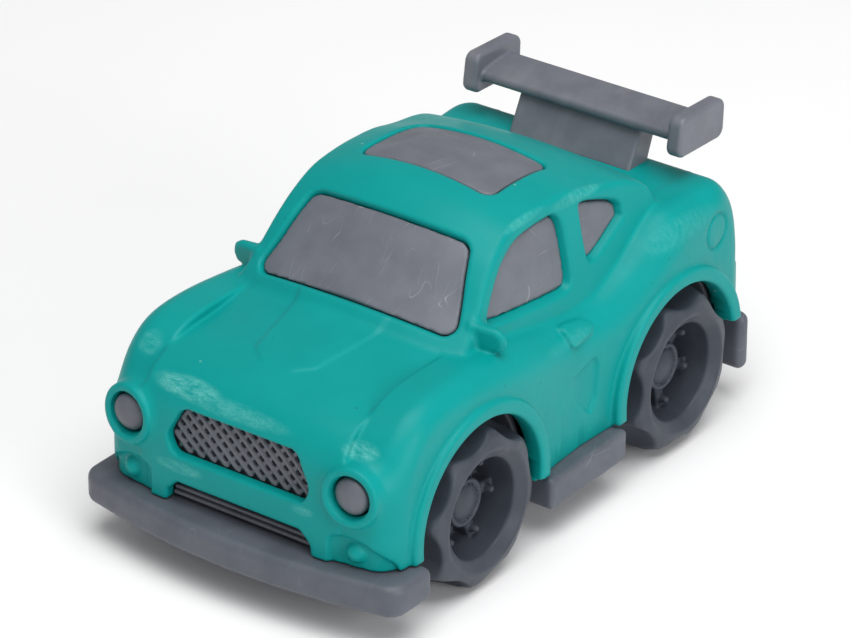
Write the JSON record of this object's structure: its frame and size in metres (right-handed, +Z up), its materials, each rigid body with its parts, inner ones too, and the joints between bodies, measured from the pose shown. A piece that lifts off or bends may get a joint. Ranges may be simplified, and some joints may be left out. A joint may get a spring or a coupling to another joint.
{
  "type": "pull back car",
  "caption": "Chunky toy coupe with a hollow moulded body, free-rolling wheels, a rear wing and a clockwork pull-back motor on the rear axle.",
  "frame": {"origin": "on the ground under the middle of the car", "axes": "+Z up, nose towards -Y, the car's left side towards +X"},
  "size_m": [0.068, 0.118, 0.0602],
  "materials": {
    "body_teal": "satin moulded plastic with fine specks",
    "trim_grey": "satin moulded plastic",
    "chassis_grey": "satin moulded plastic",
    "wheel_grey": "satin moulded plastic",
    "spoiler_grey": "satin moulded plastic",
    "steel": "drawn wire",
    "screw_steel": "zinc plated",
    "motor_plastic": "natural plastic",
    "gear_plastic": "natural acetal",
    "spring_steel": "blued spring steel"
  },
  "bodies": {
    "root": {"body_shell": "body_teal", "window_insert": "trim_grey", "grille_insert": "trim_grey", "chassis": "chassis_grey", "spoiler": "spoiler_grey", "chassis_screws": "screw_steel", "spoiler_screws": "screw_steel", "motor_case": "motor_plastic", "motor_cover": "motor_plastic", "motor_cover_screws": "screw_steel", "motor_mount_screws": "screw_steel", "compound_pin": "steel", "winding_pin": "steel", "mainspring": "spring_steel"},
    "front_axle_body": {"front_axle": "steel", "front_wheel_left": "wheel_grey", "front_wheel_right": "wheel_grey"},
    "rear_axle_body": {"rear_axle": "steel", "rear_wheel_left": "wheel_grey", "rear_wheel_right": "wheel_grey", "axle_gear": "gear_plastic"},
    "compound_body": {"compound_gear": "gear_plastic"},
    "spring_body": {"spring_gear": "gear_plastic", "spring_arbor": "steel"},
    "winding_body": {"winding_gear": "gear_plastic"}
  },
  "joints": [
    {"name": "front_axle_spin", "type": "hinge", "parent": "root", "child": "front_axle_body", "pos_m": [0, -0.0274, 0.0152], "axis": [1, 0, 0], "continuous": true},
    {"name": "rear_axle_spin", "type": "hinge", "parent": "root", "child": "rear_axle_body", "pos_m": [0, 0.0321, 0.0152], "axis": [1, 0, 0], "continuous": true},
    {"name": "compound_gear_spin", "type": "hinge", "parent": "root", "child": "compound_body", "pos_m": [0, 0.02568, 0.02151], "axis": [1, 0, 0], "continuous": true},
    {"name": "spring_gear_spin", "type": "hinge", "parent": "root", "child": "spring_body", "pos_m": [0, 0.01551, 0.0189], "axis": [1, 0, 0], "continuous": true, "deforming": ["mainspring"]},
    {"name": "winding_gear_spin", "type": "hinge", "parent": "root", "child": "winding_body", "pos_m": [0, 0.02522, 0.01275], "axis": [1, 0, 0], "continuous": true}
  ],
  "couplings": [
    {"joint": "compound_gear_spin", "follows": "rear_axle_spin", "ratio": -0.38462},
    {"joint": "spring_gear_spin", "follows": "rear_axle_spin", "ratio": 0.12019},
    {"joint": "winding_gear_spin", "follows": "rear_axle_spin", "ratio": -0.27473}
  ]
}
